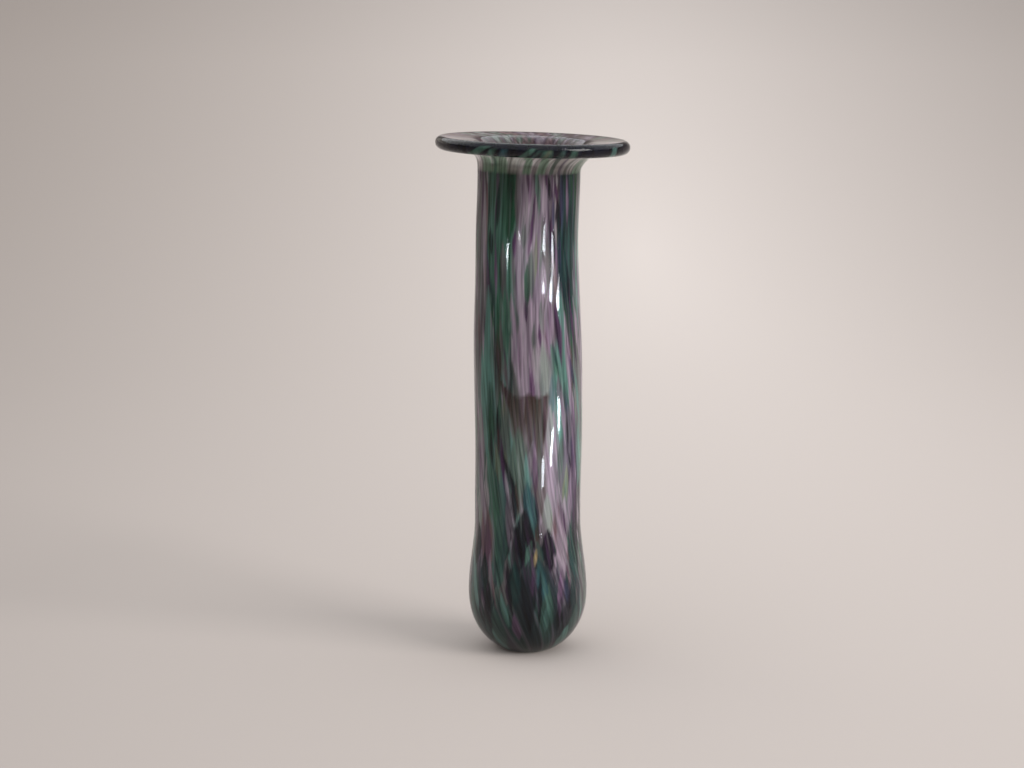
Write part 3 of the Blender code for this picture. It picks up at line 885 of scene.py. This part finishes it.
def paint_smoke():
    """A smoky patch on the front, a painted dark reflection, with a crisp dark upper edge, that thins out
    downwards.
    """
    angle = np.degrees(FACING)
    climb = np.clip((-angle - SMOKE_RISE_ANGLE) / SMOKE_RISE_SPAN, 0, 1) ** 2
    top = (SMOKE_TOP + SMOKE_RISE * climb + SMOKE_WAVE * np.cos(angle / SMOKE_WAVE_SPAN)) * MM
    depth = (top[None, :] - HEIGHTS[:, None]) / SMOKE_LENGTH
    share = np.clip(depth, 0, 1)
    half = SMOKE_HALF_WIDTH - SMOKE_NARROWING * share + SMOKE_FEATHER * FEATHER + SMOKE_CLOUDS * CLOUDS
    away = np.abs(angle[None, :] - SMOKE_MIDDLE - SMOKE_DRIFT * share)
    below_top = np.clip(depth * SMOKE_TOP_SHARPNESS + 0.5, 0, 1)
    cover = below_top * np.clip((half - away) / SMOKE_EDGE + 0.5, 0, 1)
    smoke_fade = (depth - SMOKE_FADE_START) / (1 - SMOKE_FADE_START) + SMOKE_FADE_FEATHER * FEATHER
    umber_fade = depth / UMBER_FADE_SHARE + UMBER_FADE_FEATHER * FEATHER + UMBER_FADE_LEAD
    lay("smoke", cover * eased(1.0, 0.0, smoke_fade))
    lay("umber", UMBER_STRENGTH * cover * eased(1.0, 0.0, umber_fade))


def paint_threads():
    """Threads of other glass drawn out in each glass, fainter on the front, whose streaks were read off."""
    for _ in range(THREAD_COUNT):
        row = random.choice(ROWS, p=RADII / RADII.sum())
        column = random.integers(COLOUR_SIDES)
        kinds = THREADS[str(ground[row, column])]
        glass, _, strength = kinds[random.choice(len(kinds), p=[share for _, share, _ in kinds])]
        length = random.uniform(*THREAD_LENGTHS) * MM
        width = random.uniform(*THREAD_WIDTHS) * MM
        slant = math.radians(random.normal(0, THREAD_SLANT))
        strength *= random.uniform(*THREAD_STRENGTHS)
        if abs(FACING[column]) < FRONT_HALF_ANGLE:
            strength *= FRONT_THREAD_STRENGTH
        if HEIGHTS[row] < DARK_BULB_HEIGHT:
            strength *= BULB_THREAD_STRENGTH
        more = {"feather": THREAD_FEATHER, "shade": random.uniform(*THREAD_SHADES), "mass": False}
        paint_along(glass, ANGLES[column], ALONG[row], length, width, strength, THREAD_WIND, slant, **more)


def paint_flare():
    """The flare under the lip: pale, clearer glass with painted light, crossed by green streaks, over a thin
    painted dark line.
    """
    flare = eased(0.0, FLARE_STRENGTH, (HEIGHTS - FLARE_START + FLARE_LEAD) / FLARE_START_FADE)
    flare = flare * eased(1.0, 0.0, (RADII - FLARE_END) / FLARE_END_FADE)
    # Pale cream, partly the flare's own pale glass and partly painted light shining through the thin flare
    lay("cream", flare[:, None] * (FLARE_CREAM + FLARE_CREAM_FEATHER * FEATHER))
    rows = slice(int(np.argmax(HEIGHTS > FLARE_START)), ROWS)
    level = np.zeros(ROWS)[rows]
    for face in FLARE_FACES:
        for glass, angle, width in FLARE_STREAKS:
            paint(rows, level, level + math.radians(face + angle), glass, width * MM, FLARE_STRENGTH)
    paleness = np.interp(canvas.mean(axis=2), FLARE_PALE, (0, 1))
    clarity[:] = FLARE_CLARITY * flare[:, None] * paleness
    # A painted dark line round the flare's bend, which stands in for a reflection
    ring = np.clip(1 - np.abs(HEIGHTS - FLARE_LINE_HEIGHT) / FLARE_LINE_HALF, 0, 1)
    line_cover = ring[:, None] * np.clip(FLARE_LINE_COVER + CLOUDS, 0, 1)
    canvas[:] *= 1 - FLARE_LINE_STRENGTH * line_cover[:, :, None]


def shade_bottom():
    """The colour darkens towards the foot."""
    share = (HEIGHTS - BOTTOM_SHADE_LOW) / (BOTTOM_SHADE_HIGH - BOTTOM_SHADE_LOW)
    canvas[:] *= eased(BOTTOM_SHADE, 1.0, share)[:, None, None]


def lip_colours():
    """Colours on top of the lip: streaks drawn out towards the bead, with painted light towards it, painted
    shade to the mouth.
    """
    glasses = np.array([GLASSES[glass] for glass in LIP_GLASSES])
    last = len(LIP_GLASSES) - 1
    grain = drawn_grain(LIP_STREAK_LENGTH, LIP_STREAK_WIDTH)
    place = np.clip(0.5 + LIP_CONTRAST * grain, 0, 1) * last
    colours = np.stack([np.interp(place, np.arange(last + 1), column) for column in glasses.T], axis=2)
    outward = (RADII - MOUTH_LIGHT_RADIUS) / (LIP_LIGHT_RADIUS - MOUTH_LIGHT_RADIUS)
    # Painted shade darkens the streaks towards the mouth, and painted light lightens them towards the bead
    return colours * eased(MOUTH_LIGHT, LIP_LIGHT, outward)[:, None, None]


def inner_colours():
    """The inner side of the layer, which shows only in the mouth and on top of the lip, with painted shade
    deep in the mouth.
    """
    in_mouth = (HEIGHTS > FLARE_START - MOUTH_LEAD)[:, None, None]
    colours = np.where(in_mouth, lip_colours(), canvas)
    # Painted shade: deep in the mouth the colour fades into maroon
    shaded = eased(MOUTH_SHADE, 1.0, (HEIGHTS - MOUTH_SHADE_HEIGHT) / MOUTH_SHADE_FADE)[:, None, None]
    return colours * shaded + np.array(GLASSES["maroon"]) * (1 - shaded)


def bead_colours():
    """The bead: dark glass, with slanted green streaks in its lower half."""
    turn = np.linspace(0, 1, len(roll))[:, None]
    colours = np.ones((len(roll), COLOUR_SIDES, 3)) * GLASSES["indigo"]
    for face in BEAD_FACES:
        for glass, low_angle, high_angle, width in BEAD_STREAKS:
            line = np.radians(face + low_angle + (high_angle - low_angle) * 2 * turn)
            across = np.abs(wrapped(ANGLES[None, :] - line)) * LIP_CENTRE[0]
            # Neighbours end a little higher or lower than each other
            top = BEAD_STREAK_TOP + BEAD_STREAK_TOP_SPREAD * math.sin(7 * low_angle)
            half = width * MM / 2 * eased(1.0, BEAD_STREAK_SLIMMING, turn / top)
            side = np.clip((half - across) / BEAD_STREAK_EDGE + 0.5, 0, 1)
            cover = side * eased(1.0, 0.0, (turn - top) / BEAD_STREAK_FADE)
            colours += (np.array(GLASSES[glass]) - colours) * BEAD_STREAK_STRENGTH * cover[:, :, None]
    return colours


paint_cad_streaks()
paint_dark_bulb()
for face in (90, 270, 180, 0):
    paint_face(UPPER_STREAKS, face)
    if face == 0:
        paint_smoke()
    paint_face(LOWER_STREAKS, face)
paint_threads()
paint_flare()
shade_bottom()

# The layer's mesh: out along its outer side, round the bead, and back along its inner side
inner_rows = np.arange(0, ROWS, INNER_ROW_STEP)[::-1]
colour_profile = np.vstack((outer_line, roll, inner_line[inner_rows]))
colour_profile[0, 0] = 0.0
colour_profile[-1] = (0.0, inner_line[0, 1])
coloured_glass = turned("coloured_glass", colour_profile, COLOUR_SIDES)

# Each point's colour, and as its alpha how clear the glass is there: on the flare, and inside its near half
tints = np.concatenate((canvas, bead_colours(), inner_colours()[inner_rows]))
foot_tint = canvas[1].mean(axis=0)
near_half = eased(0.0, 1.0, np.cos(ANGLES) + NEAR_HALF_REACH)
inner_clarity = clarity * (INNER_CLARITY / FLARE_CLARITY) * near_half
clarities = np.concatenate((clarity, np.zeros((len(roll), COLOUR_SIDES)), inner_clarity[inner_rows]))
tints = np.vstack((tints[1:-1].reshape(-1, 3), foot_tint, foot_tint))
clarities = np.append(clarities[1:-1].ravel(), (0.0, 0.0))
add_point_colours(coloured_glass.data, "tint", np.column_stack((tints, clarities)))

# Each point's place in the flow as if it ran straight up a tube, for the fine threads of the material
along = np.concatenate((ALONG, np.full(len(roll), ALONG[-1]), ALONG[inner_rows]))[1:-1, None]
turn = ANGLES[None, :] - lean(along / ALONG[-1])
flow_height = np.repeat(along, COLOUR_SIDES, axis=1)
flow = np.stack((NECK_RADIUS * np.sin(turn), -NECK_RADIUS * np.cos(turn), flow_height), axis=2)
flow = np.vstack((flow.reshape(-1, 3), [(0, 0, 0), (0, 0, 0)]))
add_point_vectors(coloured_glass.data, "flow", flow)


# Materials


class Graph:
    """A material's node tree, with a short way to add and join nodes."""

    def __init__(self, name):
        self.material = bpy.data.materials.new(name)
        self.material.use_nodes = True
        self.tree = self.material.node_tree
        self.tree.nodes.clear()

    def add(self, kind, settings=(), **sockets):
        """A node of this kind. Each socket takes a value, or the output socket that feeds it."""
        node = self.tree.nodes.new("ShaderNode" + kind)
        for name, value in dict(settings).items():
            setattr(node, name, value)
        for name, value in sockets.items():
            key = int(name[1:]) if name[0] == "_" else name.replace("_", " ")
            if isinstance(value, bpy.types.NodeSocket):
                self.tree.links.new(value, node.inputs[key])
            else:
                node.inputs[key].default_value = value
        return node

    def finish(self, shader):
        """The material, with this shader as its surface."""
        output = self.tree.nodes.new("ShaderNodeOutputMaterial")
        self.tree.links.new(shader, output.inputs["Surface"])
        return self.material


def clear_material():
    """Clear glass with a faintly waved and drawn surface, which lamps light through."""
    graph = Graph("clear")
    place = graph.add("TexCoord").outputs["Object"]
    stretch = graph.add("Mapping", Vector=place, Scale=(1.0, 1.0, 0.12)).outputs["Vector"]
    waves = graph.add("TexNoise", Vector=stretch, Scale=170.0, Detail=1.5)
    bump = graph.add("Bump", Strength=1.0, Distance=0.05 * MM, Height=waves.outputs["Fac"])
    drawn = graph.add("Mapping", Vector=place, Scale=(1.0, 1.0, 0.05)).outputs["Vector"]
    lines = graph.add("TexNoise", Vector=drawn, Scale=600.0, Detail=1.0)
    normal = bump.outputs["Normal"]
    bump = graph.add("Bump", Strength=1.0, Distance=0.012 * MM, Height=lines.outputs["Fac"], Normal=normal)
    glass = graph.add(
        "BsdfPrincipled",
        Base_Color=(0.94, 0.96, 0.955, 1.0),
        Roughness=0.05,
        IOR=1.5,
        Specular_Tint=(0.55, 0.55, 0.55, 1.0),
        Transmission_Weight=1.0,
        Normal=bump.outputs["Normal"],
    )
    clear = graph.add("BsdfTransparent", Color=(0.96, 0.97, 0.965, 1.0))
    shadow = graph.add("LightPath").outputs["Is Shadow Ray"]
    mix = graph.add("MixShader", Fac=shadow, _1=glass.outputs[0], _2=clear.outputs[0])
    return graph.finish(mix.outputs[0])


def coloured_material():
    """Coloured glass in fine threads. Pale glass glows more with light from behind, and lets more through."""
    graph = Graph("streaked")
    layer = graph.add("Attribute", {"attribute_name": "tint"})
    flow = graph.add("Attribute", {"attribute_name": "flow"}).outputs["Vector"]
    stretch = graph.add("Mapping", Vector=flow, Scale=(1.0, 1.0, 0.05)).outputs["Vector"]
    threads = graph.add("TexNoise", Vector=stretch, Scale=900.0, Detail=1.0)
    shade = graph.add(
        "MapRange", Value=threads.outputs["Fac"], From_Min=0.3, From_Max=0.7, To_Min=0.6, To_Max=1.45
    )
    colour = graph.add(
        "Mix",
        {"data_type": "RGBA", "blend_type": "MULTIPLY"},
        _0=1.0,
        _6=layer.outputs["Color"],
        _7=shade.outputs["Result"],
    ).outputs[2]
    front = graph.add("BsdfDiffuse", Color=colour)
    through = graph.add("BsdfTranslucent", Color=colour)
    light = graph.add("RGBToBW", Color=colour)
    glow = graph.add(
        "MapRange", Value=light.outputs[0], From_Min=0.5, From_Max=0.8, To_Min=0.15, To_Max=0.7
    )
    body = graph.add("MixShader", Fac=glow.outputs[0], _1=front.outputs[0], _2=through.outputs[0])
    clear = graph.add("BsdfTransparent")
    passing = graph.add("MapRange", Value=light.outputs[0], From_Max=0.4, To_Min=0.02, To_Max=0.16)
    clearer = graph.add(
        "Math", {"operation": "ADD"}, _0=passing.outputs["Result"], _1=layer.outputs["Alpha"]
    )
    mix = graph.add("MixShader", Fac=clearer.outputs[0], _1=body.outputs[0], _2=clear.outputs[0])
    return graph.finish(mix.outputs[0])


def sweep_material():
    """Pale paper, brightest in a long soft pool of painted light behind the vase, and darker higher up with
    painted shade.
    """
    graph = Graph("pale_sweep")
    place = graph.add("TexCoord").outputs["Object"]
    # A painted pool of light, brightest behind the vase
    pool = graph.add(
        "Mapping", {"vector_type": "TEXTURE"}, Vector=place, Location=(0.12, 1.2, 0.0), Scale=(1.1, 5.0, 9.0)
    )
    fade = graph.add("TexGradient", {"gradient_type": "QUADRATIC_SPHERE"}, Vector=pool.outputs["Vector"])
    colour = graph.add("ValToRGB", Fac=fade.outputs["Fac"])
    ramp = colour.color_ramp.elements
    ramp[0].color = (0.345, 0.300, 0.276, 1.0)
    ramp[1].color = (0.80, 0.72, 0.68, 1.0)
    # Painted shade: the paper darkens higher up
    height = graph.add("SeparateXYZ", Vector=place).outputs["Z"]
    dusk = graph.add("MapRange", Value=height, From_Min=0.2, From_Max=0.9, To_Min=1.0, To_Max=0.5)
    shaded = graph.add(
        "Mix",
        {"data_type": "RGBA", "blend_type": "MULTIPLY"},
        _0=1.0,
        _6=colour.outputs["Color"],
        _7=dusk.outputs["Result"],
    )
    paper = graph.add("BsdfDiffuse", Color=shaded.outputs[2])
    return graph.finish(paper.outputs[0])


clear_glass.data.materials.append(clear_material())
coloured_glass.data.materials.append(coloured_material())

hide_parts("outer_casing", "inner_gather")
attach(clear_glass, "root")
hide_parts(*STREAKS)
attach(coloured_glass, "root")

# The pale sweep that the vase stands on: flat near the vase, and rising all round far from it

SWEEP_FLAT = 0.8
SWEEP_RADIUS = 4.5
SWEEP_HEIGHT = 2.2
SWEEP_SIDES = 96
SWEEP_RINGS = 60
SWEEP_SOFTNESS = 1.4
spread = np.linspace(0, SWEEP_RADIUS, SWEEP_RINGS + 1)
rise = SWEEP_HEIGHT * eased(0, 1, (spread - SWEEP_FLAT) / (SWEEP_RADIUS - SWEEP_FLAT) / SWEEP_SOFTNESS)
points = [(0.0, 0.0, 0.0)]
for radius, height in zip(spread[1:], rise[1:]):
    points += [(radius * math.sin(a), -radius * math.cos(a), height) for a in ring_angles(SWEEP_SIDES)]
faces = [(0, 1 + k, 1 + (k + 1) % SWEEP_SIDES) for k in range(SWEEP_SIDES)]
for row in range(len(spread) - 2):
    for k in range(SWEEP_SIDES):
        a, b = 1 + row * SWEEP_SIDES + k, 1 + row * SWEEP_SIDES + (k + 1) % SWEEP_SIDES
        faces.append((a, a + SWEEP_SIDES, b + SWEEP_SIDES, b))
sweep_mesh = bpy.data.meshes.new("sweep")
sweep_mesh.from_pydata(points, [], faces)
sweep_mesh.shade_smooth()
sweep_mesh.materials.append(sweep_material())
placed("sweep", sweep_mesh)

# Light


def lamp(name, place, target, width, height, power, colour, spread=180.0):
    """A flat lamp at place that faces target and isn't seen itself. spread is its beam in degrees."""
    light = bpy.data.lights.new(name, "AREA")
    light.shape = "RECTANGLE"
    light.size = width
    light.size_y = height
    light.energy = power
    light.color = colour
    light.spread = math.radians(spread)
    holder = placed(name, light)
    holder.location = place
    holder.rotation_euler = (Vector(target) - Vector(place)).to_track_quat("-Z", "Y").to_euler()
    holder.visible_camera = False


VASE_MIDDLE = (0, 0, 0.1)
lamp("window", (1.8, -1.04, 1.4), VASE_MIDDLE, 1.2, 1.2, power=28.0, colour=(1.0, 0.98, 0.96))
lamp("back_fill", (-1.2, 1.4, 1.3), VASE_MIDDLE, 2.0, 2.0, power=4.5, colour=(1.0, 0.92, 0.80))

# Small bright panels beside the camera, whose reflections are the slivers of light on the vase: azimuth in
# degrees, distance, height, the height on the vase that each is aimed at, width and tallness
GLINTS = (
    (67, 0.30, 0.057, 0.113, 0.095, 0.030),
    (50, 0.30, 0.032, 0.095, 0.042, 0.022),
    (31, 0.20, 0.041, 0.082, 0.034, 0.018),
    (72, 0.30, 0.1425, 0.1645, 0.056, 0.006),
    (55, 0.30, 0.149, 0.172, 0.045, 0.007),
    (36, 0.30, 0.153, 0.177, 0.070, 0.006),
    (-16, 0.30, 0.159, 0.183, 0.024, 0.004),
    (-41, 0.30, 0.158, 0.183, 0.022, 0.002),
)
GLINT_POWER_PER_AREA = 0.8
GLINT_COLOUR = (0.86, 0.93, 1.0)
GLINT_BEAM = 10.0
for number, (azimuth, distance, height, aim, width, tall) in enumerate(GLINTS, start=1):
    turn = math.radians(azimuth)
    place = (distance * math.sin(turn), -distance * math.cos(turn), height)
    power = GLINT_POWER_PER_AREA * width * tall
    lamp(f"glint_{number}", place, (0, 0, aim), width, tall, power, GLINT_COLOUR, GLINT_BEAM)

world = bpy.data.worlds.new("room")
world.use_nodes = True
room = world.node_tree.nodes["Background"].inputs
room["Color"].default_value = (0.95, 0.98, 1.0, 1.0)
room["Strength"].default_value = 0.95
bpy.context.scene.world = world
bpy.context.scene.view_settings.view_transform = "Standard"

# The camera, at the photograph's height and angle

SENSOR_WIDTH = 36.0
LENS = 80.2
CAMERA_PLACE = (-0.007, -1.0, 0.2982)
LOOK_DOWN_DEGREES = 10.06
camera_data = bpy.data.cameras.new("camera")
camera_data.sensor_width = SENSOR_WIDTH
camera_data.lens = LENS
camera = placed("camera", camera_data)
camera.location = CAMERA_PLACE
camera.rotation_euler = (math.radians(90 - LOOK_DOWN_DEGREES), 0, 0)
bpy.context.scene.camera = camera
